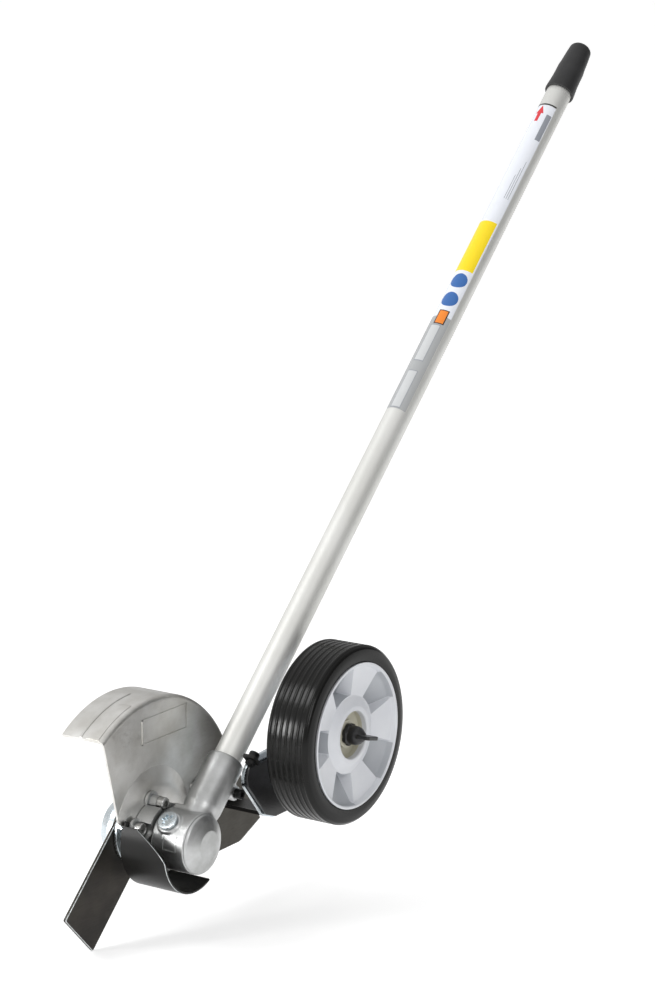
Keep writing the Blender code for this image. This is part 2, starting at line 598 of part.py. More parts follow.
def knob_wing(centre):
    """Flat finger wing that stands on the knob, thin to the side and wide across."""
    across = Vector((0, math.cos(WING_TURN), math.sin(WING_TURN)))
    thick = X.cross(across)
    outline = [(78.0, -5.5), (86.0, -8.5), (93.5, -8.5), (95.0, -7.0), (95.0, 7.0),
               (93.5, 8.5), (86.0, 8.5), (78.0, 5.5)]
    bm = bmesh.new()
    sides = []
    for half in (-1.6, 1.6):
        sides.append([bm.verts.new(centre + X * x + across * w + thick * half)
                      for x, w in outline])
    bm.faces.new(sides[0])
    bm.faces.new(sides[1][::-1])
    for i in range(len(outline)):
        j = (i + 1) % len(outline)
        bm.faces.new((sides[0][i], sides[1][i], sides[1][j], sides[0][j]))
    return place("wing_shape", bm, "knob")


build_boom()
build_gear_case()
build_drive()
build_guard()
build_skirt()
build_blade()
build_bracket()
build_wheel()
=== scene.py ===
# %% [markdown]
# # A lawn edger attachment
# A long aluminium tube carries a drive shaft down to a right-angle gear case. The gear case
# turns a flat steel blade under a pressed guard, and a wheel beside it sets the cutting depth.
# The engineering model already holds every working part at its real size, so this script
# loads it first and then gives each visible part the roundings, ribs and finish of the real
# thing. Lengths in the cells are millimetres from the centre of the gear case.

# %% Load the engineering model
import json
import math

import bmesh
import bpy
from mathutils import Matrix, Vector


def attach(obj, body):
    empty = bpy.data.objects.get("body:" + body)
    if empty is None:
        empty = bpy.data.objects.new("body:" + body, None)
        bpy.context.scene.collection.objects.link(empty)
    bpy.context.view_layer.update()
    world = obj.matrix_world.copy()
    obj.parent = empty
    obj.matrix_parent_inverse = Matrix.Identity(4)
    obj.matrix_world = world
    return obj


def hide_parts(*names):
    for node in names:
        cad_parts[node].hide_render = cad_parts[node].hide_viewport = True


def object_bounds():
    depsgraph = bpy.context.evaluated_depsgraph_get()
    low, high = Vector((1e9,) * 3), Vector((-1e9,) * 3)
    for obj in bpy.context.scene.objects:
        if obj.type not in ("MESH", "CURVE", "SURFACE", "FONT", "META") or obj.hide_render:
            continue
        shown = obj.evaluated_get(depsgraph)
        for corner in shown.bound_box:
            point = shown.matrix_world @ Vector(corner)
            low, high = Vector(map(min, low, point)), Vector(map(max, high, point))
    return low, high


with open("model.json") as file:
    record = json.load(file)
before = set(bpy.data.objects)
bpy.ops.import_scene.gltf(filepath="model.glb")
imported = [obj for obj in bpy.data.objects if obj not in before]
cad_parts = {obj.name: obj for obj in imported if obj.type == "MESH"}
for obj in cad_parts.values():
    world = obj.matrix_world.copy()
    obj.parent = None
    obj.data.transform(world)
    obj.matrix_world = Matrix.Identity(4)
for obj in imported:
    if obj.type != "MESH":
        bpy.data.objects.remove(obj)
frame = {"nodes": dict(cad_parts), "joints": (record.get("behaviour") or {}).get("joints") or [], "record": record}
cad_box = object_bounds()
joints = {joint["name"]: joint for joint in frame["joints"]}

# %% [markdown]
# ## One place to measure from
# The blade axis and the tube axis cross in the middle of the gear case, and the model's own
# joints say where that is. Every shape below is written from that crossing: X runs from the
# blade to the wheel, and T climbs the tube.

# %% The gear case's centre and the tube's direction
MM = 0.001
CENTRE = Vector(joints["blade_spin"]["pos_m"])
X = Vector((1.0, 0.0, 0.0))
T = Vector(joints["input_spin"]["axis"]).normalized()
N = X.cross(T)
LEAN = math.atan2(T.z, T.y)
AXLE = (Vector(joints["wheel_spin"]["pos_m"]) - CENTRE) / MM
ROOT = "boom_and_head"
print("tube leans", round(math.degrees(LEAN), 1), "degrees; axle at", [round(c, 1) for c in AXLE])

# %% [markdown]
# ## Colours and finishes
# A finish on a real part is never one flat value. Anodised tube, blasted casting and moulded
# rubber differ in how their gloss breaks up, so each finish here is built from two close
# colours in soft patches and a fine grain that moves both gloss and height. Colours are
# written as sRGB hex values and turned to linear light by one function.

# %% Colour and node helpers
def colour(hex_value):
    """sRGB hex to linear RGBA."""
    channels = [int(hex_value[i:i + 2], 16) / 255 for i in (1, 3, 5)]
    return (*[c / 12.92 if c <= 0.04045 else ((c + 0.055) / 1.055) ** 2.4 for c in channels], 1.0)


def add_node(tree, kind, inputs=None, **settings):
    """Add a node: settings are its properties, inputs are values or sockets to link."""
    node = tree.nodes.new(kind)
    for key, value in settings.items():
        setattr(node, key, value)
    for key, value in (inputs or {}).items():
        if isinstance(value, bpy.types.NodeSocket):
            tree.links.new(value, node.inputs[key])
        else:
            node.inputs[key].default_value = value
    return node


def surface(name, light, dark, metallic, roughness, grain, depth, patch=30.0, spread=0.08,
            stretch=(1.0, 1.0, 1.0), turn=0.0, shine=0.5, detail=2.0, painted_shade=None):
    """A finish whose patches run between two colours, light and dark.

    grain, depth and patch are millimetres, and spread is how far the gloss varies. stretch and
    turn draw the grain out in one direction, and detail makes it finer. painted_shade is
    (colour, y from, y to): painted shade that darkens the colour along Y.
    """
    mat = bpy.data.materials.new(name)
    mat.use_nodes = True
    tree = mat.node_tree
    shader = tree.nodes["Principled BSDF"]
    shader.inputs["Metallic"].default_value = metallic
    shader.inputs["Specular IOR Level"].default_value = shine
    place = add_node(tree, "ShaderNodeTexCoord")
    turned = add_node(tree, "ShaderNodeMapping", {
        "Vector": place.outputs["Object"], "Rotation": (turn, 0.0, 0.0), "Scale": stretch})
    patches = add_node(tree, "ShaderNodeTexNoise", {
        "Vector": place.outputs["Object"], "Scale": 1 / (patch * MM), "Detail": 4.0})
    tint = add_node(tree, "ShaderNodeValToRGB", {"Fac": patches.outputs["Fac"]})
    tint.color_ramp.elements[0].position, tint.color_ramp.elements[0].color = 0.35, colour(dark)
    tint.color_ramp.elements[1].position, tint.color_ramp.elements[1].color = 0.65, colour(light)
    grains = add_node(tree, "ShaderNodeTexNoise", {
        "Vector": turned.outputs["Vector"], "Scale": 1 / (grain * MM), "Detail": detail})
    gloss = add_node(tree, "ShaderNodeMapRange", {
        "Value": grains.outputs["Fac"], "From Min": 0.25, "From Max": 0.75,
        "To Min": roughness - spread, "To Max": roughness + spread})
    height = add_node(tree, "ShaderNodeBump", {
        "Height": grains.outputs["Fac"], "Distance": depth * MM, "Strength": 0.6})
    base = tint.outputs["Color"]
    # Painted shade: the colour is multiplied darker along Y.
    if painted_shade:
        split_up = add_node(tree, "ShaderNodeSeparateXYZ", {"Vector": place.outputs["Object"]})
        painted_shade_depth = add_node(tree, "ShaderNodeMapRange", {
            "Value": split_up.outputs["Y"], "From Min": CENTRE.y + painted_shade[1] * MM,
            "From Max": CENTRE.y + painted_shade[2] * MM}, interpolation_type="SMOOTHSTEP")
        base = add_node(tree, "ShaderNodeMixRGB", {
            "Fac": painted_shade_depth.outputs["Result"], "Color1": base, "Color2": colour(painted_shade[0])},
            blend_type="MULTIPLY").outputs["Color"]
    tree.links.new(base, shader.inputs["Base Color"])
    tree.links.new(gloss.outputs["Result"], shader.inputs["Roughness"])
    tree.links.new(height.outputs["Normal"], shader.inputs["Normal"])
    return mat


# %% [markdown]
# The tube is drawn aluminium with a clear satin anodised layer: pale, with a faint grain
# along its length. The gear case is cast and bead-blasted, so its grain is round and soft.
# The guard is pressed from bare sheet and keeps long rub marks. Zinc plate is a little blue.
# The blade is tempered dark, with rolling marks along it, and the skirt is powder coated.

# %% Metals
ALONG_TUBE = dict(stretch=(1.0, 0.03, 1.0), turn=-LEAN)
anodised = surface("anodised_aluminium", "#e2e2df", "#dbdbd7", 0.7, 0.52, 0.6, 0.01, 60, 0.05,
                   **ALONG_TUBE)
casting = surface("blasted_cast_aluminium", "#c3c4c4", "#b1b2b1", 1.0, 0.42, 0.9, 0.05, 14, 0.08)
# The guard's rear is painted darker from Y 18 to 104 mm: painted shade behind the wheel.
sheet = surface("pressed_aluminium_sheet", "#e2e1de", "#cdcbc6", 1.0, 0.40, 1.6, 0.03, 22, 0.11,
                stretch=(1.0, 0.25, 1.0), turn=0.5, detail=5.0, painted_shade=("#54524e", 18.0, 104.0))
zinc = surface("zinc_plated_steel", "#d9e0e4", "#c3ccd1", 1.0, 0.24, 1.2, 0.01, 9, 0.08)
ground = surface("ground_steel", "#b9b9b8", "#a8a8a6", 1.0, 0.28, 0.8, 0.01, 20, 0.06)
bronze = surface("sintered_bronze", "#b78a55", "#9c7343", 1.0, 0.48, 0.5, 0.03, 8, 0.08)
oxide = surface("black_oxide_steel", "#2a2a2a", "#1f1f1f", 0.8, 0.34, 0.6, 0.01, 8, 0.08)
tempered = surface("dark_tempered_steel", "#38342f", "#2c2926", 0.75, 0.46, 1.1, 0.02, 26, 0.07,
                   stretch=(1.0, 0.12, 1.0), turn=-LEAN)
powder = surface("black_powder_coat", "#191817", "#131312", 0.0, 0.34, 0.7, 0.03, 18, 0.07,
                 shine=0.2)
bare_edge = surface("bare_sheared_steel", "#cfd3d3", "#a5a9a9", 1.0, 0.30, 0.5, 0.02, 5, 0.10)

# %% [markdown]
# The wheel is moulded in a pale grey plastic with a soft gloss. Its pocket floors are rougher
# and painted darker as painted shade for the deep pockets, and its hub seat is a warmer plain moulding. The tyre
# is a dense black rubber that still
# shines where the mould was polished, and the cap is a duller one. Labels are thin printed
# film, almost flat.

# %% Plastics, rubbers and label film
wheel_plastic = surface("pale_moulded_plastic", "#d9dbdf", "#d0d2d7", 0.0, 0.42, 1.0, 0.02, 40,
                        0.05)
hub_plastic = surface("warm_moulded_plastic", "#c8c5b4", "#bdbaa8", 0.0, 0.5, 1.0, 0.03, 20, 0.06)
# The pocket floors' darker colour is painted shade; their roughness and grain are real texture.
pocket_shade_plastic = surface("pocket_painted_shade_plastic", "#b4b7bb", "#aaadb2", 0.0, 0.6, 0.7, 0.05, 30,
                         0.04)
nylon = surface("black_nylon", "#1c1c1d", "#151516", 0.0, 0.33, 0.8, 0.03, 10, 0.08)
tyre_rubber = surface("tyre_rubber", "#141413", "#10100f", 0.0, 0.20, 1.4, 0.004, 30, 0.03,
                      shine=0.20)
cap_rubber = surface("matt_black_rubber", "#29292a", "#212122", 0.0, 0.5, 0.8, 0.04, 16, 0.08)


def film(name, hex_value, roughness=0.34):
    return surface(name, hex_value, hex_value, 0.0, roughness, 2.0, 0.004, 30, 0.03)


white_film = film("white_label_film", "#e6e9f0")
yellow_film = film("yellow_label_film", "#f6d90e")
blue_film = film("blue_label_film", "#3568ab")
orange_film = film("orange_label_film", "#f0872a")
red_film = film("red_label_film", "#d5303a")
grey_film = film("grey_label_film", "#8f939b")
black_film = film("black_label_film", "#1d1d1f")
silver_film = film("silver_label_film", "#a9abac", 0.3)
pale_film = film("pale_silver_label_film", "#c9cbcc", 0.3)
print(len(bpy.data.materials), "materials ready")

# %% [markdown]
# ## Shape helpers
# Most parts of a tool like this are turned, bent from sheet or cut as plates. A turned part
# is a profile spun about an axis; a plate is an outline pushed along X; a band is a strip
# that wraps a cylinder. Each helper returns a bmesh in millimetres, and `finish_piece` moves
# it to its place, shades it and hangs it on the body that it moves with.

# %% Placing a finished piece
def finish_piece(name, shape, mats, body, replaces=(), sharp=32.0, even=False):
    """Turn a bmesh in millimetres into a piece that rides on a body."""
    bmesh.ops.recalc_face_normals(shape, faces=shape.faces)
    shape.transform(Matrix.Translation(CENTRE) @ Matrix.Scale(MM, 4))
    mesh = bpy.data.meshes.new(name)
    shape.to_mesh(mesh)
    shape.free()
    mesh.shade_smooth()
    mesh.set_sharp_from_angle(angle=math.radians(sharp))
    for mat in mats if isinstance(mats, (list, tuple)) else [mats]:
        mesh.materials.append(mat)
    piece = bpy.data.objects.new(name, mesh)
    bpy.context.collection.objects.link(piece)
    if even:
        piece.modifiers.new("flat faces stay flat", "WEIGHTED_NORMAL").keep_sharp = True
    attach(piece, body)
    if replaces:
        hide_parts(*replaces)
    print(f"{name}: {len(mesh.polygons)} faces")
    return piece


# %% Spinning a profile
def axis_frame(origin, axis):
    axis = Vector(axis).normalized()
    side = X.copy() if abs(axis.x) < 0.5 else Vector((0.0, 1.0, 0.0))
    side = (side - axis * side.dot(axis)).normalized()
    turn = Matrix((axis, side, axis.cross(side))).transposed()
    return Matrix.Translation(Vector(origin)) @ turn.to_4x4()


def bridge(shape, rings, closed):
    """Skin between rings of equal count; a ring of one vertex is a pole."""
    pairs = list(zip(rings, rings[1:])) + ([(rings[-1], rings[0])] if closed else [])
    for low, high in pairs:
        count = max(len(low), len(high))
        for i in range(count):
            j = (i + 1) % count
            corners = ([low[0]] if len(low) == 1 else [low[i], low[j]])
            corners += ([high[0]] if len(high) == 1 else [high[j], high[i]])
            shape.faces.new(corners)


def bar(shape, rings):
    """Skin between rings, with a flat face on the first and the last."""
    bridge(shape, rings, closed=False)
    shape.faces.new(rings[0])
    shape.faces.new(rings[-1][::-1])


def spin(profile, origin=(0, 0, 0), axis=X, sides=64, swell=None):
    """Profile of (along, radius) about an axis; swell(along, angle) may scale the radius."""
    placed = axis_frame(origin, axis)
    shape = bmesh.new()
    rings = []
    for along, radius in profile:
        ring = []
        for i in range(sides if radius else 1):
            angle = math.tau * i / sides
            reach = radius * (swell(along, angle) if swell else 1.0)
            ring.append(shape.verts.new(placed @ Vector((along, reach * math.cos(angle),
                                                         reach * math.sin(angle)))))
        rings.append(ring)
    bridge(shape, rings, closed=profile[0][1] != 0)
    return shape


def eased(profile, size=0.6, steps=3):
    """Round each inner corner of a profile with a small curve, as tooling leaves it."""
    out = [profile[0]]
    for before, corner, after in zip(profile, profile[1:], profile[2:]):
        a, c, b = Vector(before), Vector(corner), Vector(after)
        reach = min(size, (a - c).length * 0.45, (b - c).length * 0.45)
        start, end = c + (a - c).normalized() * reach, c + (b - c).normalized() * reach
        for i in range(steps + 1):
            t = i / steps
            out.append(tuple(start.lerp(c, t).lerp(c.lerp(end, t), t)))
    return out + [profile[-1]]


# %% Pushing an outline, and rounding edges
def push(outline, x_from, x_to):
    """Plate: an outline of (y, z) points pushed along X."""
    shape = bmesh.new()
    low = [shape.verts.new((x_from, y, z)) for y, z in outline]
    high = [shape.verts.new((x_to, y, z)) for y, z in outline]
    shape.faces.new(low)
    shape.faces.new(high[::-1])
    for i in range(len(outline)):
        j = (i + 1) % len(outline)
        shape.faces.new((low[i], high[i], high[j], low[j]))
    bmesh.ops.recalc_face_normals(shape, faces=shape.faces)
    return shape


def round_edges(shape, width, steps=3, angle=35.0, where=None):
    """Bevel the sharp edges, or only those that `where` picks."""
    picked = []
    for edge in shape.edges:
        if len(edge.link_faces) == 2 and edge.calc_face_angle() > math.radians(angle):
            if where is None or where(edge):
                picked.append(edge)
    bmesh.ops.bevel(shape, geom=picked, offset=width, segments=steps, profile=0.5,
                    affect="EDGES", clamp_overlap=True)
    return shape


def from_model(node, width=0.4, steps=2):
    """Copy of an engineering part with its flat faces whole and its edges broken."""
    shape = bmesh.new()
    shape.from_mesh(frame["nodes"][node].data)
    bmesh.ops.remove_doubles(shape, verts=shape.verts, dist=1e-6)
    shape.transform(Matrix.Scale(1 / MM, 4) @ Matrix.Translation(-CENTRE))
    bmesh.ops.dissolve_limit(shape, angle_limit=math.radians(0.5), verts=shape.verts,
                             edges=shape.edges)
    return round_edges(shape, width, steps) if width else shape


# %% Joining shapes
def as_object(shape):
    mesh = bpy.data.meshes.new("work")
    shape.to_mesh(mesh)
    shape.free()
    work = bpy.data.objects.new("work", mesh)
    bpy.context.collection.objects.link(work)
    return work


def combined(base, tools, melt=0.0):
    """Booleans in turn; melt remeshes the result at that grain, as a casting's fillets."""
    work = as_object(base)
    helpers = [work]
    for operation, tool in tools:
        helper = as_object(tool)
        helpers.append(helper)
        step = work.modifiers.new(operation, "BOOLEAN")
        step.operation, step.object, step.solver = operation, helper, "EXACT"
    if melt:
        skin = work.modifiers.new("skin", "REMESH")
        skin.mode, skin.voxel_size, skin.use_smooth_shade = "VOXEL", melt, True
        soft = work.modifiers.new("soft", "SMOOTH")
        soft.factor, soft.iterations = 0.5, 8
    bpy.context.view_layer.update()
    result = bpy.data.meshes.new_from_object(
        work.evaluated_get(bpy.context.evaluated_depsgraph_get()))
    shape = bmesh.new()
    shape.from_mesh(result)
    for helper in helpers:
        bpy.data.objects.remove(helper)
    return shape


def arc(centre, radius, start, end, steps):
    """(y, z) points on an arc, degrees from +Y towards +Z."""
    turns = [math.radians(start + (end - start) * i / steps) for i in range(steps + 1)]
    return [(centre[0] + radius * math.cos(a), centre[1] + radius * math.sin(a)) for a in turns]


# %% [markdown]
# ## The tube and its rubber cap
# The tube is one long turned shape. Its ends are lightly broken where the saw left a burr.
# The cap is a soft moulding that swells at its mouth, so its profile is eased all round.

# %% Tube and cap
TUBE_R, TUBE_LOW, TUBE_HIGH = 12.0, 38.0, 862.0
finish_piece("boom_tube", spin(eased([
    (TUBE_LOW, 10.5), (TUBE_LOW, TUBE_R), (TUBE_HIGH, TUBE_R), (TUBE_HIGH, 10.5)], 0.4),
    axis=T, sides=96), anodised, ROOT, ["tube"])
finish_piece("coupling_cap", spin(eased([
    (892, 0), (892, 8.6), (889.5, 10.6), (880, 11.5), (868, 12.3), (864, 12.9), (850, 13.1),
    (845, 13.4), (836, 14.2), (832.4, 14.3), (832, 12.3), (863, 12.3), (863, 9.6), (889, 8.0),
    (889, 0)], 1.6, 4), axis=T, sides=72), cap_rubber, "coupling_cap", ["tube_end_cap"])

# %% [markdown]
# ## The label
# A printed film wraps the tube for about half of its way round. Each colour block is its own
# thin band, cut by two functions that say where it begins and ends along the tube at each
# angle. Lettering and warning pictures are left out, so only plain blocks remain.

# %% Bands on the tube
def band(low, high, first, last, radius, thick, steps=40):
    """Strip on the tube from angle first to last, degrees from +X towards its top."""
    shape = bmesh.new()
    columns = []
    for i in range(steps + 1):
        angle = first + (last - first) * i / steps
        across = X * math.cos(math.radians(angle)) + N * math.sin(math.radians(angle))
        column = []
        for reach, edge in ((radius + thick, low), (radius + thick, high),
                            (radius, high), (radius, low)):
            column.append(shape.verts.new(T * edge(angle) + across * reach))
        columns.append(column)
    bar(shape, columns)
    return shape


LAYER, GLUE = 0.05, 0.02
DEGREE = math.radians(1) * TUBE_R


def film_radius(layer):
    """Films lie on each other in layers, the first one on its glue."""
    return TUBE_R + LAYER * (layer - 1) + GLUE


def block(name, s_low, s_high, first, last, layer, mat):
    finish_piece(name, band(lambda a: s_low, lambda a: s_high, first, last,
                            film_radius(layer), LAYER), mat, ROOT)


def disc(name, s, angle, radius, layer, mat):
    def half(a):
        return math.sqrt(max(radius ** 2 - ((a - angle) * DEGREE) ** 2, 0.0) + 1e-3)
    width = radius / DEGREE
    finish_piece(name, band(lambda a: s - half(a), lambda a: s + half(a), angle - width,
                            angle + width, film_radius(layer), LAYER), mat, ROOT)


LABEL_FROM, LABEL_TO = 33.0, 208.0
block("label_white", 547, 806.5, LABEL_FROM, LABEL_TO, 1, white_film)
block("label_clear", 441, 547, LABEL_FROM, LABEL_TO, 1, silver_film)
block("label_end_ring", 807, 808.6, LABEL_FROM, LABEL_TO, 1, black_film)
block("label_yellow", 601, 661, 40, 150, 2, yellow_film)
block("label_grey_strip", 764, 796, 36, 60, 2, grey_film)
for i, s in enumerate((589, 567)):
    disc(f"label_blue_{i}", s, 82, 8.2, 2, blue_film)
for i, s in enumerate((516, 463)):
    block(f"label_box_rim_{i}", s - 21, s + 21, 62, 108, 2, grey_film)
    block(f"label_box_{i}", s - 20.2, s + 20.2, 64.5, 105.5, 3, pale_film)
for i in range(3):
    block(f"label_rule_{i}", 690, 737 - 9 * i, 46 + 9 * i, 48 + 9 * i, 2, grey_film)


ARROW_AT = 97


def arrow_low(angle):
    return 786.0 if abs(angle - ARROW_AT) < 9 else 796.0


def arrow_high(angle):
    return 806.0 - abs(angle - ARROW_AT) * 0.5


finish_piece("label_arrow", band(arrow_low, arrow_high, 78, 116, film_radius(2), LAYER),
             red_film, ROOT)
for name, margin, layer, mat in (("label_patch_rim", 1.0, 2, black_film),
                               ("label_patch", 0.0, 3, orange_film)):
    block(name, 539 - margin, 553 + margin, 58 - 5 * margin, 96 + 5 * margin, layer, mat)

# %% [markdown]
# ## The gear case
# The case is one casting. A casting has no sharp inner corner, because the metal must flow
# round it, so the shapes are joined, bored, and then remeshed at under a millimetre and
# smoothed. That melts a small fillet into every join, which separate shapes never show.

# %% Casting
PLUG_TURN = math.radians(40)
PLUG_AXIS = Vector((0.0, -math.sin(PLUG_TURN), math.cos(PLUG_TURN)))
PLUG_AT = X * -4.0
CLAMP_AT = T * 58.0 + N * -16.0


def rod(start, end, radius, origin=(0, 0, 0), axis=X, sides=48):
    return spin([(start, 0), (start, radius), (end, radius), (end, 0)], origin, axis, sides)


split = [tuple((T * s + N * n).yz) for s, n in ((44, -8), (83, -8), (83, -26), (44, -26))]
shoulder = [tuple((T * s + N * n).yz) for s, n in ((4, -13), (25, -13), (25, 14.4), (4, 14.4))]
finish_piece("gear_casting", combined(
    spin([(15.5, 0), (15.5, 25), (-17, 25), (-17, 20), (-34, 20), (-34, 14.5), (-42, 14.5),
          (-42, 0)], sides=96),
    [("UNION", spin([(2, 0), (2, 15.2), (27, 15.2), (32, 16), (74, 16), (75, 15.6), (76, 16),
                     (78, 15.4), (78, 0)], axis=T)),
     ("UNION", spin([(17, 0), (17, 11), (26.5, 10), (26.5, 0)], PLUG_AT, PLUG_AXIS)),
     ("UNION", rod(-9, 12.5, 6.5, CLAMP_AT)),
     ("UNION", push(shoulder, -16.8, 0.0)),
     ("DIFFERENCE", spin([(20, 0), (20, 18), (-16.5, 18), (-16.5, 16.3), (-28, 16.3), (-28, 8),
                          (-35, 8), (-35, 12.3), (-50, 12.3), (-50, 0)])),
     ("DIFFERENCE", rod(6, 90, 12.35, axis=T, sides=96)),
     ("DIFFERENCE", rod(10, 40, 6.0, PLUG_AT, PLUG_AXIS)),
     ("DIFFERENCE", rod(-20, 20, 2.9, CLAMP_AT)),
     ("DIFFERENCE", rod(12.5, 30, 5.3, CLAMP_AT)),
     ("DIFFERENCE", push(split, -1.0, 1.0))],
    melt=0.85), casting, ROOT, ["gear_case"], sharp=60)
finish_piece("case_end_cover", spin(eased([
    (24, 0), (24, 12.5), (23, 14.5), (20.5, 20), (18, 24), (15.8, 25), (15.8, 17.7),
    (12.6, 17.7), (12.6, 13.3), (21, 13.3), (21, 0)], 0.8), sides=96),
    casting, ROOT, ["case_end_cap"])
badge = bmesh.new()
BADGE_LOW, BADGE_HIGH = 24.6, 25.5
for x_low, x_high, first, last in ((-6, 8, 154, 157), (-6, 8, 182, 185), (-6, -4.6, 154, 185),
                                   (6.6, 8, 154, 185)):
    rings = []
    for i in range(9):
        a = math.radians(first + (last - first) * i / 8)
        rings.append([badge.verts.new((x, r * math.cos(a), r * math.sin(a)))
                      for x, r in ((x_low, BADGE_LOW), (x_low, BADGE_HIGH), (x_high, BADGE_HIGH),
                                   (x_high, BADGE_LOW))])
    bar(badge, rings)
finish_piece("case_blank_badge", badge, casting, ROOT, even=True)
finish_piece("grease_plug", combined(
    spin(eased([(18.6, 0), (18.6, 5.6), (26.8, 5.6), (26.8, 8.3), (29.6, 8.3), (29.6, 0)], 0.7),
         PLUG_AT, PLUG_AXIS),
    [("DIFFERENCE", spin([(27.6, 0), (27.6, 4.2), (31, 4.4), (31, 0)], PLUG_AT, PLUG_AXIS,
                         swell=lambda along, a: 1 + 0.28 * math.cos(6 * a)))]),
    zinc, ROOT, ["filler_plug"])

# %% [markdown]
# ## The guard
# The guard is pressed from one sheet: a flat plate beside the blade that turns over a round
# bend into a rim above it. Both the outside and the inside of the bend are rounded before the
# inside is cut away, so the sheet keeps one thickness through the bend. A raised dish, a
# pressed frame, a rib on the tail, and a step and a bead along the rim stiffen it.

# %% Guard
RIM_EDGE, FACE, SHEET, ARC_R, ARC_AT = -80.0, -38.0, 2.0, 115.0, (9.0, -3.0)
LEAVE = math.radians(32)


def tail(radius, length):
    return (ARC_AT[0] + radius * math.cos(LEAVE) + length * math.sin(LEAVE),
            ARC_AT[1] + radius * math.sin(LEAVE) - length * math.cos(LEAVE))


def along_bend(x, radius):
    """Picks the edges at x that follow the arc and the straight tail."""
    def test(edge):
        a, b = (v.co for v in edge.verts)
        middle = (a + b) / 2
        on_arc = math.hypot(middle.y - ARC_AT[0], middle.z - ARC_AT[1]) > radius - 1.5
        return abs(a.x - x) < 1e-4 and abs(b.x - x) < 1e-4 and on_arc and middle.z > -44
    return test


lower_edge = arc((0, 0), 31, 270, 180, 18) + [(-31, 11), (-38.5, 18.5)]
sheet_out = push(arc(ARC_AT, ARC_R, 125, 32, 72) + [tail(ARC_R, 108), (137, -45), (2, -45)]
                 + lower_edge, RIM_EDGE, FACE)
round_edges(sheet_out, 4.5, 5, 60, along_bend(FACE, ARC_R))
sheet_in = push(arc(ARC_AT, ARC_R - SHEET, 137, 32, 80)
                + [tail(ARC_R - SHEET, 190), (-140, -106), (-140, 60)], RIM_EDGE - 5, FACE - SHEET)
round_edges(sheet_in, 2.8, 4, 60, along_bend(FACE - SHEET, ARC_R - SHEET))
DISH_AT = (0, 6.0, 5.0)
dish = spin(eased([(-39.5, 0), (-39.5, 49.5), (-37.9, 49.4), (-34.6, 38.0), (-34.6, 0)], 5.0, 8),
            DISH_AT, sides=120)
trim = [(-60, -60), (60, -60), (60, -44.5), (2.5, -44.5)] + lower_edge + [(-60, 60)]
dish = combined(dish, [("DIFFERENCE", push(trim, -60, -20))])


def raised(outline, height, width):
    """Low pressed rib: closed line of (y, z) corners, standing on the plate."""
    shape = bmesh.new()
    count = len(outline)
    for i in range(count):
        a, b = Vector(outline[i]), Vector(outline[(i + 1) % count])
        run = (b - a).normalized() * width / 2
        side = Vector((-run.y, run.x))
        corners = [a - run - side, b + run - side, b + run + side, a - run + side]
        low = [shape.verts.new((FACE - 0.5, c.x, c.y)) for c in corners]
        high = [shape.verts.new((FACE + height, c.x, c.y)) for c in corners]
        shape.faces.new(low)
        shape.faces.new(high[::-1])
        for k in range(4):
            m = (k + 1) % 4
            shape.faces.new((low[k], high[k], high[m], low[m]))
    return round_edges(shape, 0.35, 2)


SCREWS = {"upper": (-1.5, 28.5), "lower": (-26.2, 12.6), "rear": (7.5, -28.0)}
BRACKET_SCREWS = ((74.0, 18.0), (98.0, 18.0))
RIM_SINK, RIM_FRONT, RIM_STEPS, RIM_FADE = 114.0, 124.6, 36, 4
rim_step = [(-57.0, 114.0), (-56.0, 115.2), (-50.0, 115.5), (-43.5, 115.5), (-42.0, 114.0)]
rim_bead = [(-62.8, 114.0), (-62.5, 115.5), (-61.5, 116.0), (-60.5, 115.5), (-60.2, 114.0)]


def rim_band(section, last):
    """A strip on the rim from its front edge to an angle, sinking into the sheet at its end."""
    shape = bmesh.new()
    columns = []
    for i in range(RIM_STEPS + 1):
        angle = math.radians(RIM_FRONT - (RIM_FRONT - last) * i / RIM_STEPS)
        fade = min(1.0, (RIM_STEPS - i) / RIM_FADE)
        reaches = [(x, RIM_SINK + (r - RIM_SINK) * fade) for x, r in section]
        columns.append([shape.verts.new((x, ARC_AT[0] + reach * math.cos(angle),
                                         ARC_AT[1] + reach * math.sin(angle)))
                        for x, reach in reaches])
    bar(shape, columns)
    bmesh.ops.recalc_face_normals(shape, faces=shape.faces)
    return shape


cuts = [("DIFFERENCE", sheet_in), ("UNION", dish), ("DIFFERENCE", rod(-60, -20, 14.8))]
for y, z in SCREWS.values():
    cuts.append(("DIFFERENCE", rod(-60, -20, 3.3, (0, y, z), X, 24)))
for y, z in BRACKET_SCREWS:
    cuts.append(("DIFFERENCE", rod(-60, -20, 2.9, (0, y, z), X, 24)))
finish_piece("pressed_guard", combined(sheet_out, cuts), sheet, ROOT, ["guard"],
             sharp=38, even=True)
finish_piece("guard_rim_step", rim_band(rim_step, 99), sheet, ROOT, even=True)
finish_piece("guard_rim_bead", rim_band(rim_bead, 87), sheet, ROOT, even=True)
finish_piece("guard_panel_frame", raised([(-6, 76), (54, 76), (54, 96.5), (-6, 96.5)], 0.5, 1.0),
             sheet, ROOT, even=True)
finish_piece("guard_tail_ribs", raised([(112, -6), (149, -18.5)], 0.6, 1.6), sheet, ROOT,
             even=True)
finish_piece("guard_clamp_collar", from_model("guard_collar", 0.5), casting, ROOT,
             ["guard_collar"], even=True)

# %% [markdown]
# ## The skirt
# A black powder-coated sheet wraps the lower half of the gear head and keeps turf off it. It
# is a band of constant thickness whose right edge is full width underneath and curves back
# at the front. Where the coat has rubbed off, the edge shows a thin bright line of steel.

# %% Skirt
def skirt_edge(angle):
    drop = min(1.0, max(0.0, (-80 - angle) / 35))
    return 10.0 - 32.0 * drop ** 1.5


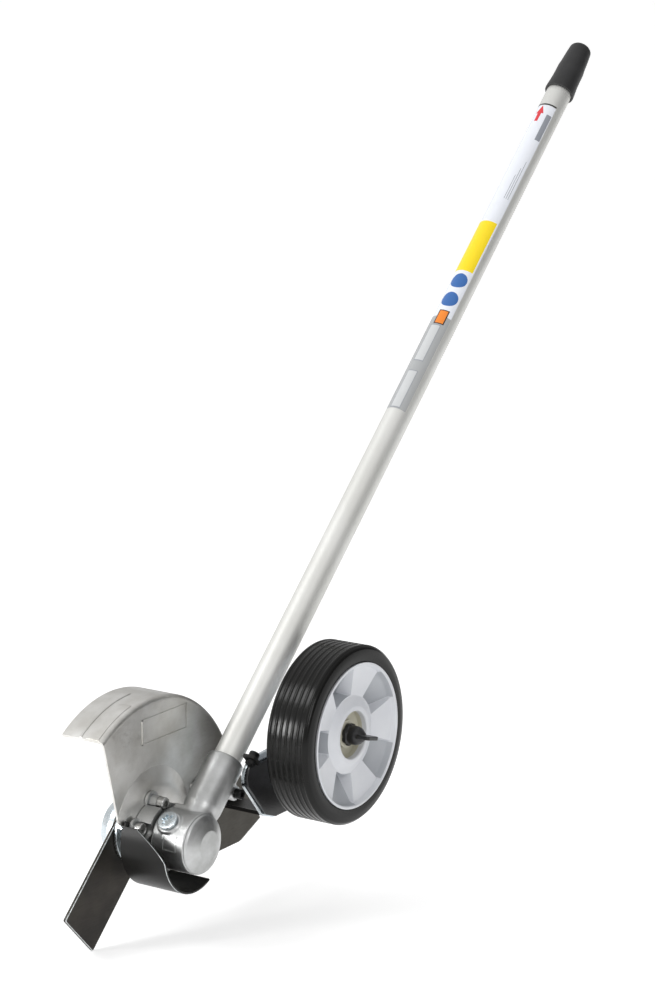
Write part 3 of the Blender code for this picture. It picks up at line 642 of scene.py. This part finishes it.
SKIRT_BACK, SKIRT_OUT, SKIRT_IN = -34.3, 42.0, 40.0
skirt = bmesh.new()
columns = []
for i in range(95):
    angle = -114 + 1.5 * i
    right = skirt_edge(angle)
    a = math.radians(angle)
    column = []
    for reach, x in ((SKIRT_OUT, SKIRT_BACK), (SKIRT_OUT, right - 0.5), (41.6, right),
                     (40.2, right), (SKIRT_IN, right - 0.3), (SKIRT_IN, SKIRT_BACK)):
        column.append(skirt.verts.new((x, reach * math.sin(a), -reach * math.cos(a))))
    columns.append(column)
for left, right in zip(columns, columns[1:]):
    for k in range(6):
        m = (k + 1) % 6
        face = skirt.faces.new((left[k], left[m], right[m], right[k]))
        face.material_index = 1 if k == 1 else 0
skirt.faces.new(columns[0])
skirt.faces.new(columns[-1][::-1])
finish_piece("head_skirt", skirt, [powder, bare_edge], ROOT, ["gear_head_skirt"])
for name, start, end in (("lower", 150, 166), ("rear", 276, 294)):
    tab = arc((0, 0), 41.2, start, end, 8) + arc((0, 0), 28.4, end, start, 8)
    finish_piece(f"skirt_tab_{name}",
                 round_edges(push(tab, SKIRT_BACK, SKIRT_BACK + 2.0), 0.3, 2), powder, ROOT,
                 even=True)

# %% [markdown]
# ## The blade and what holds it
# The blade is a flat tempered bar. Its edges are ground, so a thin pale line runs round the
# dark faces. A round flange backs it, and a cup outside guards the nut from the ground.

# %% Blade stack
# BLADE_HALF and BLADE_WIDE are half of the length and half of the width.
BLADE_X, BLADE_HALF, BLADE_WIDE, CHAMFER = -54.0, 101.5, 25.0, 1.0
BLADE_TURN = math.radians(-136.8)
outline = []
for sy, sz in ((1, 1), (-1, 1), (-1, -1), (1, -1)):
    near = (sy * BLADE_HALF, sz * (BLADE_WIDE - CHAMFER))
    far = (sy * (BLADE_HALF - CHAMFER), sz * BLADE_WIDE)
    outline += [near, far] if sy * sz > 0 else [far, near]
c, s = math.cos(BLADE_TURN), math.sin(BLADE_TURN)
outline = [(y * c - z * s, y * s + z * c) for y, z in outline]
blade = combined(push(outline, BLADE_X - 1.5, BLADE_X + 1.5),
                 [("DIFFERENCE", rod(-70, -40, 6.4, sides=48))])
round_edges(blade, 0.5, 2, 60)
for face in blade.faces:
    lean = abs(face.normal.x)
    face.material_index = 1 if 0.2 < lean < 0.95 else 0
finish_piece("edger_blade", blade, [tempered, bare_edge], "blade_stack", ["blade"],
             even=True)
FRONT, BACK = BLADE_X + 1.5, BLADE_X - 1.5
finish_piece("blade_flange", spin(eased([
    (FRONT + 0.3, 6.3), (FRONT + 0.3, 28), (FRONT + 3.6, 28), (FRONT + 3.6, 11), (-43, 9.5),
    (-43, 6.3)], 0.8), sides=96), zinc, "blade_stack", ["inner_flange"])
finish_piece("blade_cup", spin(eased([
    (BACK - 0.3, 6.4), (BACK - 0.3, 26), (BACK - 6, 26), (BACK - 13.5, 23), (BACK - 14.5, 21.8),
    (BACK - 14.5, 20), (BACK - 5, 21.5), (BACK - 3.3, 20), (BACK - 3.3, 6.4)], 0.9), sides=96),
    zinc, "blade_stack", ["outer_cup"])

# %% [markdown]
# ## Screws and nuts
# The same few shapes repeat all over the head, so one Geometry Nodes tree makes them. Each
# point carries its axis and its sizes; the tree stands a head on the point, cuts a socket in
# it and adds a shank.

# %% A tree that makes a fastener at each point
def make_tree(name, inputs):
    tree = bpy.data.node_groups.new(name, "GeometryNodeTree")
    tree.interface.new_socket("Geometry", in_out="INPUT", socket_type="NodeSocketGeometry")
    for title, kind in inputs:
        tree.interface.new_socket(title, in_out="INPUT", socket_type="NodeSocket" + kind)
    tree.interface.new_socket("Geometry", in_out="OUTPUT", socket_type="NodeSocketGeometry")
    return tree, add_node(tree, "NodeGroupInput"), add_node(tree, "NodeGroupOutput")


def finish_tree(tree, grown, given, out):
    """Instances become real and take their finish, as the export needs."""
    real = add_node(tree, "GeometryNodeRealizeInstances", {"Geometry": grown})
    coated = add_node(tree, "GeometryNodeSetMaterial", {
        "Geometry": real.outputs["Geometry"], "Material": given.outputs["Finish"]})
    tree.links.new(coated.outputs["Geometry"], out.inputs["Geometry"])


fastener_tree, given, out = make_tree("fastener", [
    ("Head sides", "Int"), ("Socket sides", "Int"), ("Socket radius", "Float"),
    ("Socket depth", "Float"), ("Finish", "Material")])
BARREL, CROWN = 0.86, 0.14      # shares of the head's height


def moved(geometry, shift):
    return add_node(fastener_tree, "GeometryNodeTransform", {
        "Geometry": geometry, "Translation": shift}).outputs["Geometry"]


barrel = add_node(fastener_tree, "GeometryNodeMeshCylinder", {
    "Vertices": given.outputs["Head sides"], "Radius": 1.0, "Depth": BARREL})
crown = add_node(fastener_tree, "GeometryNodeMeshCone", {
    "Vertices": given.outputs["Head sides"], "Radius Top": 0.9, "Radius Bottom": 1.0,
    "Depth": CROWN})
solid = add_node(fastener_tree, "GeometryNodeMeshBoolean", operation="UNION")
fastener_tree.links.new(moved(barrel.outputs["Mesh"], (0, 0, BARREL / 2)), solid.inputs["Mesh 2"])
fastener_tree.links.new(moved(crown.outputs["Mesh"], (0, 0, BARREL)), solid.inputs["Mesh 2"])
socket = add_node(fastener_tree, "GeometryNodeMeshCylinder", {
    "Vertices": given.outputs["Socket sides"], "Radius": given.outputs["Socket radius"],
    "Depth": given.outputs["Socket depth"]})
head = add_node(fastener_tree, "GeometryNodeMeshBoolean", {
    "Mesh 1": solid.outputs["Mesh"]}, operation="DIFFERENCE")
fastener_tree.links.new(moved(socket.outputs["Mesh"], (0, 0, 1.0)), head.inputs["Mesh 2"])
shank = add_node(fastener_tree, "GeometryNodeMeshCylinder", {
    "Vertices": 24, "Radius": 1.0, "Depth": 1.0})


def attribute(name, kind):
    node = add_node(fastener_tree, "GeometryNodeInputNamedAttribute", {"Name": name},
                    data_type=kind)
    return next(s for s in node.outputs if s.enabled)


turn = add_node(fastener_tree, "FunctionNodeAlignRotationToVector", {
    "Vector": attribute("axis", "FLOAT_VECTOR")}, axis="Z")
stood = []
for shape_socket, size in ((head.outputs["Mesh"], "head"),
                           (moved(shank.outputs["Mesh"], (0, 0, -0.5)), "shank")):
    stood.append(add_node(fastener_tree, "GeometryNodeInstanceOnPoints", {
        "Points": given.outputs["Geometry"], "Instance": shape_socket,
        "Rotation": turn.outputs["Rotation"], "Scale": attribute(size, "FLOAT_VECTOR")}))
both = add_node(fastener_tree, "GeometryNodeJoinGeometry")
for node in stood:
    fastener_tree.links.new(node.outputs["Instances"], both.inputs["Geometry"])
finish_tree(fastener_tree, both.outputs["Geometry"], given, out)


# %% Growing a tree on points, and the fasteners themselves
def grow(tree, mesh, values):
    """Run a tree on a mesh and return the plain result as a bmesh."""
    seed = bpy.data.objects.new("seed", mesh)
    bpy.context.collection.objects.link(seed)
    run = seed.modifiers.new("grow", "NODES")
    run.node_group = tree
    for item in tree.interface.items_tree:
        if item.in_out == "INPUT" and item.name in values:
            run[item.identifier] = values[item.name]
    bpy.context.view_layer.update()
    result = bpy.data.meshes.new_from_object(
        seed.evaluated_get(bpy.context.evaluated_depsgraph_get()))
    seed.modifiers.clear()
    bpy.data.objects.remove(seed)
    shape = bmesh.new()
    shape.from_mesh(result)
    return shape


def fasteners(name, places, mat, body, replaces):
    """places: (point, axis, head radius, head height, shank radius, shank length)."""
    mesh = bpy.data.meshes.new("points")
    mesh.from_pydata([p[0] for p in places], [], [])
    for title, pick in (("axis", lambda p: p[1]), ("head", lambda p: (p[2], p[2], p[3])),
                        ("shank", lambda p: (p[4], p[4], p[5]))):
        layer = mesh.attributes.new(title, "FLOAT_VECTOR", "POINT")
        for i, p in enumerate(places):
            layer.data[i].vector = pick(p)
    values = {"Head sides": 40, "Socket sides": 6, "Socket radius": 0.55, "Socket depth": 1.1,
              "Finish": mat}
    finish_piece(name, grow(fastener_tree, mesh, values), mat, body, replaces)


def head_point(x, place):
    return Vector((x, *place))


fasteners("guard_screws", [
    (head_point(-24.3, SCREWS["upper"]), X, 5.2, 6.0, 2.9, 21.2),
    (head_point(-29.2, SCREWS["lower"]), X, 5.2, 6.0, 2.9, 16.3),
    (head_point(-29.2, SCREWS["rear"]), X, 5.2, 6.0, 2.9, 16.3)],
    ground, ROOT, ["guard_screw_upper", "guard_screw_lower", "guard_screw_rear"])
TOP_BOLT = T * 86.3 + N * -2.0 + X * 22.0
fasteners("black_screws", [
    (CLAMP_AT + X * 12.8, X, 4.3, 6.0, 2.5, 25.8),
    (TOP_BOLT, T, 4.5, 4.2, 2.5, 7.3),
    (head_point(-34.4, BRACKET_SCREWS[0]), X, 4.5, 4.0, 2.5, 10.6),
    (head_point(-34.4, BRACKET_SCREWS[1]), X, 4.5, 4.0, 2.5, 10.6)],
    oxide, ROOT,
    ["tube_clamp_bolt", "bracket_top_bolt", "bracket_screw_1", "bracket_screw_2"])

# %% [markdown]
# ## The bracket and the glide pad
# The bracket is a folded zinc-plated plate with a long slot for the axle, and a black moulded
# pad covers its face so that the axle's sleeve slides without wearing the plate. Its web and
# foot, the faces below X 14.9 mm, and the tab that takes the top bolt are drawn black.

# %% Bracket, pad and axle parts
bracket = from_model("wheel_bracket", 0.5)
for face in bracket.faces:
    middle = face.calc_center_median()
    on_tab = 82.5 < middle.dot(T) < 86.5 and -8.5 < middle.dot(N) < 3.5 and middle.x > 15.2
    face.material_index = 1 if middle.x < 14.9 or on_tab else 0
finish_piece("slotted_bracket", bracket, [zinc, powder], ROOT, ["wheel_bracket"],
             even=True)
finish_piece("slide_pad", from_model("glide_pad", 0.7, 3), nylon, ROOT, ["glide_pad"],
             even=True)

# %% [markdown]
# ## The wheel
# The wheel's face is one moulding: five deep pockets leave five broad spokes, and a low cone
# rises to the hub. Such a face is a height over a disc, so it is built as rings of points
# whose height follows a rule. The points follow the pockets' edges, so every wall stays crisp.

# %% Wheel face
FACE_HEIGHTS = ((10.8, 66.0), (19.2, 66.0), (19.9, 66.5), (20.2, 74.8), (20.9, 75.5), (23.6, 75.5),
                (24.6, 75.3), (31.6, 72.0), (32.8, 71.6), (57.0, 75.8), (58.0, 76.3), (59.5, 79.6),
                (60.0, 80.0), (61.4, 80.0), (61.8, 79.6))
POCKETS, FIRST_POCKET, POCKET_START, POCKET_END = 5, 36.0, 33.5, 59.2
HALF_FIFTH, WALL, DEEPEST, FLOOR_CLIMB = 180 / POCKETS, 2.6, 14.0, 11.6


def along_face(radius):
    """0 where the pockets begin at the hub, 1 where they end at the rim."""
    return min(1.0, max(0.0, (radius - POCKET_START) / (POCKET_END - POCKET_START)))


def half_pocket(along):
    """Degrees from a pocket's middle to its edge."""
    return 19.5 - 2.5 * along


def wall_width(along):
    """The side walls thin out towards the rim."""
    return WALL * (1 - 0.6 * along)


def pocket_depth(radius):
    """The floor climbs from the hub to the rim, and a short wall closes each end."""
    hub_wall = min(1.0, max(0.0, radius - POCKET_START))
    rim_wall = min(1.0, max(0.0, (POCKET_END - radius) / 0.9))
    return (DEEPEST - FLOOR_CLIMB * along_face(radius)) * (hub_wall * rim_wall)


def face_height(radius):
    for (r0, x0), (r1, x1) in zip(FACE_HEIGHTS, FACE_HEIGHTS[1:]):
        if radius <= r1:
            return x0 + (x1 - x0) * (radius - r0) / (r1 - r0)


def sector(radius):
    """(degrees from the pocket's middle, share of its depth) across one fifth of the face."""
    along = along_face(radius)
    edge = half_pocket(along)
    wall = math.degrees(wall_width(along) / max(radius, POCKET_START))
    floor = edge - wall
    half = [(floor * i / 8, 1.0) for i in range(9)]
    half += [(floor + wall * i / 4, 1.0 - i / 4) for i in range(1, 5)]
    half += [(edge + (HALF_FIFTH - edge) * i / 8, 0.0) for i in range(1, 8)]
    return [(-a, share) for a, share in half[:0:-1]] + half + [(HALF_FIFTH, 0.0)]


radii = [10.8, 15.0, 19.2, 19.55, 19.9, 20.05, 20.2, 20.5, 20.9, 22, 23.6, 24.1, 24.6, 27, 29.5]
radii += [31.6, 32.2, 32.8, 33.5, 34.0, 34.5] + [35.5 + 1.9 * i for i in range(12)]
radii += [57.2, 58.0, 58.3, 58.75, 59.2, 59.5, 59.75, 60.0, 60.7, 61.4, 61.65, 61.8]
wheel = bmesh.new()


def wheel_ring(x_at, radius):
    """One ring of the wheel, its points lying along the pocket edges."""
    ring = []
    for k in range(POCKETS):
        for off, share in sector(radius):
            a = math.radians(FIRST_POCKET + 360 / POCKETS * k + off)
            ring.append(wheel.verts.new(AXLE + Vector((x_at(share), radius * math.cos(a),
                                                       radius * math.sin(a)))))
    return ring


rings = [wheel_ring(lambda share, r=r: face_height(r) - pocket_depth(r) * share, r) for r in radii]
for x, radius in ((79.0, 60.5), (40.0, 58.5), (40.0, 55.5), (50.0, 52.0), (48.0, 15.5),
                  (31.0, 15.0), (31.0, 10.8)):
    rings.append(wheel_ring(lambda share, x=x: x, radius))
bridge(wheel, rings, closed=True)
for face in wheel.faces:
    middle = face.calc_center_median() - AXLE
    reach = math.hypot(middle.y, middle.z)
    if reach < 20.1 and middle.x > 60:
        face.material_index = 1
    # Pocket floors take the darker plastic: painted shade for the deep pockets.
    elif POCKET_START < reach < POCKET_END and middle.x > 52:
        turned = math.degrees(math.atan2(middle.z, middle.y)) - FIRST_POCKET + HALF_FIFTH
        off = abs(turned % (2 * HALF_FIFTH) - HALF_FIFTH)
        along = along_face(reach)
        if off < half_pocket(along) - math.degrees(wall_width(along) * 0.9 / reach):
            face.material_index = 2
finish_piece("moulded_wheel", wheel, [wheel_plastic, hub_plastic, pocket_shade_plastic], "wheel",
             ["wheel_disc"], sharp=28, even=True)

# %% [markdown]
# ## The tyre
# The tyre is a turned ring of rubber with round ribs that run all the way round the tread.
# Ribs repeat at a fixed pitch, so a Geometry Nodes tree sweeps one and sets it out in a row.

# %% Tyre and its ribs
TYRE_R, RIB_R, RIBS, RIB_FIRST, RIB_PITCH = 76.0, 2.6, 7, 41.4, 5.45
finish_piece("tyre_body", spin(eased([
    (40, 59.0), (36.5, 62), (36, 66), (37, 72), (39.5, 75.3), (75.5, 75.45), (78, 73.5), (79, 68),
    (78.7, 62.4), (78, 61.9)], 1.6, 4), AXLE, X, 160), tyre_rubber, "wheel", ["tyre"],
    sharp=50)
rib_tree, given, out = make_tree("tyre_ribs", [
    ("Count", "Int"), ("First", "Float"), ("Pitch", "Float"), ("Radius", "Float"),
    ("Rib radius", "Float"), ("Finish", "Material")])
starts = add_node(rib_tree, "ShaderNodeCombineXYZ", {"X": given.outputs["First"]})
steps = add_node(rib_tree, "ShaderNodeCombineXYZ", {"X": given.outputs["Pitch"]})
row = add_node(rib_tree, "GeometryNodeMeshLine", {
    "Count": given.outputs["Count"], "Start Location": starts.outputs["Vector"],
    "Offset": steps.outputs["Vector"]})
path = add_node(rib_tree, "GeometryNodeCurvePrimitiveCircle", {
    "Resolution": 160, "Radius": given.outputs["Radius"]})
upright = add_node(rib_tree, "GeometryNodeTransform", {
    "Geometry": path.outputs["Curve"], "Rotation": (0.0, math.pi / 2, 0.0)})
section = add_node(rib_tree, "GeometryNodeCurvePrimitiveCircle", {
    "Resolution": 20, "Radius": given.outputs["Rib radius"]})
swept = add_node(rib_tree, "GeometryNodeCurveToMesh", {
    "Curve": upright.outputs["Geometry"], "Profile Curve": section.outputs["Curve"]})
set_out = add_node(rib_tree, "GeometryNodeInstanceOnPoints", {
    "Points": row.outputs["Mesh"], "Instance": swept.outputs["Mesh"]})
finish_tree(rib_tree, set_out.outputs["Instances"], given, out)
ribs = grow(rib_tree, bpy.data.meshes.new("empty"), {
    "Count": RIBS, "First": RIB_FIRST, "Pitch": RIB_PITCH, "Radius": TYRE_R - 0.1 - RIB_R,
    "Rib radius": RIB_R, "Finish": tyre_rubber})
ribs.transform(Matrix.Translation(AXLE))
finish_piece("tyre_ribs", ribs, tyre_rubber, "wheel")

# %% [markdown]
# ## The wing knob
# The knob is moulded nylon: a lobed skirt to grip, a waist, and a flat finger wing. It is
# joined and remeshed like the casting, because a moulding has the same soft corners.

# %% Wing knob
WING_TURN = math.radians(-14)
across = Vector((0, math.cos(WING_TURN), math.sin(WING_TURN)))
wing = bmesh.new()
sides = []
for offset in (-1.6, 1.6):
    sides.append([wing.verts.new(AXLE + X * x + across * w + X.cross(across) * offset)
                  for x, w in ((78, -5.5), (86, -8.5), (93.5, -8.5), (95, -7), (95, 7), (93.5, 8.5),
                               (86, 8.5), (78, 5.5))])
wing.faces.new(sides[0])
wing.faces.new(sides[1][::-1])
for i in range(8):
    j = (i + 1) % 8
    wing.faces.new((sides[0][i], sides[1][i], sides[1][j], sides[0][j]))
bmesh.ops.recalc_face_normals(wing, faces=wing.faces)
finish_piece("clamp_knob", combined(
    spin(eased([(86, 0), (86, 3.4), (84.5, 4.6), (81.8, 6.9), (79, 7.9), (74.2, 8.1), (73.6, 7.5),
                (73, 9.6), (70, 9.9), (69.5, 9.6), (69.5, 0)], 0.6), AXLE, X, 96,
         swell=lambda along, a: 1 + (0.05 * math.cos(7 * a) - 0.05 if along < 73.5 else 0)),
    [("UNION", wing), ("DIFFERENCE", rod(60, 82.4, 5.3, AXLE))], melt=0.4),
    nylon, "knob", ["wing_knob"], sharp=60)

# %% [markdown]
# ## Parts that keep their engineering shape
# Shafts, gears, bearings and bushings are already right, and most of them are inside. They
# keep their shape and take the finish of ground steel, bronze, zinc or rubber.

# %% Finishes for the working parts
FINISHES = {"steel": ground, "bronze": bronze, "zinc": zinc, "rubber": cap_rubber,
            "black_screw": oxide, "boom": anodised, "casting": casting}
SPECIAL = {"guard_screw_sleeve": casting, "hub_washer": hub_plastic, "wheel_spacer": oxide}
kept = 0
for part in frame["record"]["subparts"]:
    mat = SPECIAL.get(part["node"]) or FINISHES.get(part["material_slot"])
    node = frame["nodes"].get(part["node"])
    if mat and node:
        for slot in node.material_slots:
            slot.material = mat
        kept += 1
print(kept, "working parts finished")

# %% [markdown]
# ## Studio
# A plain pale floor and a pale sweep of light all round suit bright metal, which only shows
# what it reflects. The air is brightest up and to the left, and the camera itself sees it as
# white. A soft light high on the left models the tube and the casting, a weaker one in front
# on the right fills in, and a narrow one ahead of the tyre gives the rubber its streak.

# %% Floor, lights and camera
floor_mesh = bpy.data.meshes.new("studio_floor")
REACH, GROUND = 40.0, cad_box[0].z - 0.0005
floor_mesh.from_pydata([(-REACH, -REACH, GROUND), (REACH, -REACH, GROUND), (REACH, REACH, GROUND),
                        (-REACH, REACH, GROUND)], [], [(0, 1, 2, 3)])
floor = bpy.data.objects.new("studio_floor", floor_mesh)
bpy.context.collection.objects.link(floor)
paper = surface("pale_studio_paper", "#f4f4f4", "#f1f1f1", 0.0, 0.7, 4.0, 0.0, 400, 0.02)
paper.node_tree.nodes["Principled BSDF"].inputs["Emission Color"].default_value = colour("#ffffff")
paper.node_tree.nodes["Principled BSDF"].inputs["Emission Strength"].default_value = 0.42
floor_mesh.materials.append(paper)


def softbox(name, place, aim, size, power, tint="#ffffff"):
    lamp = bpy.data.lights.new(name, "AREA")
    lamp.shape, lamp.size, lamp.size_y = "RECTANGLE", size[0], size[1]
    lamp.energy, lamp.color = power, colour(tint)[:3]
    box = bpy.data.objects.new(name, lamp)
    bpy.context.collection.objects.link(box)
    box.location = place
    box.rotation_euler = (Vector(aim) - Vector(place)).to_track_quat("-Z", "Y").to_euler()


MIDDLE = (cad_box[0] + cad_box[1]) / 2
softbox("key_light", (-1.7, -2.1, 1.9), MIDDLE, (1.0, 1.0), 20)
softbox("side_light", (1.9, -2.2, 0.9), MIDDLE, (0.8, 1.4), 15)
HUB = CENTRE + AXLE * MM
softbox("streak_light", HUB + Vector((-0.537, -0.825, 0.175)) * 2.0, HUB, (0.14, 0.5), 11)
world = bpy.data.worlds.new("studio_air")
bpy.context.scene.world = world
world.use_nodes = True
sky = world.node_tree
around = add_node(sky, "ShaderNodeTexCoord")
BRIGHT_SIDE = (-0.55, -0.36, 0.75)
towards = add_node(sky, "ShaderNodeVectorMath", {
    0: around.outputs["Generated"], 1: BRIGHT_SIDE}, operation="DOT_PRODUCT")
glow = add_node(sky, "ShaderNodeMapRange", {
    "Value": towards.outputs["Value"], "From Min": -0.45, "From Max": 0.75, "To Min": 0.14,
    "To Max": 0.83}, interpolation_type="SMOOTHSTEP")
seen = add_node(sky, "ShaderNodeLightPath")
sweep = add_node(sky, "ShaderNodeMath", {
    0: glow.outputs["Result"], 1: seen.outputs["Is Camera Ray"]}, operation="MAXIMUM")
sky.nodes["Background"].inputs["Color"].default_value = colour("#ffffff")
sky.links.new(sweep.outputs["Value"], sky.nodes["Background"].inputs["Strength"])
bpy.context.scene.view_settings.view_transform = "Standard"

AZIMUTH, ELEVATION, DISTANCE = math.radians(33.5), math.radians(12.0), 2.190
AIM = Vector((0.0642, -0.5170, -0.3196))
lens = bpy.data.cameras.new("view")
FOCAL, SENSOR = 97.2, 36.0
lens.lens, lens.sensor_fit = FOCAL, "VERTICAL"
lens.sensor_width = lens.sensor_height = SENSOR
camera = bpy.data.objects.new("view", lens)
bpy.context.collection.objects.link(camera)
away = Vector((math.sin(AZIMUTH) * math.cos(ELEVATION), -math.cos(AZIMUTH) * math.cos(ELEVATION),
               math.sin(ELEVATION)))
camera.location = AIM + away * DISTANCE
camera.rotation_euler = away.to_track_quat("Z", "Y").to_euler()
bpy.context.scene.camera = camera

# %% [markdown]
# ## Sizes
# The finished pieces are meant to fill the same box as the engineering model, so the
# engineering model's box is printed.

# %% Print the engineering box
print("engineering box", [round(c / MM, 1) for c in cad_box[1] - cad_box[0]])
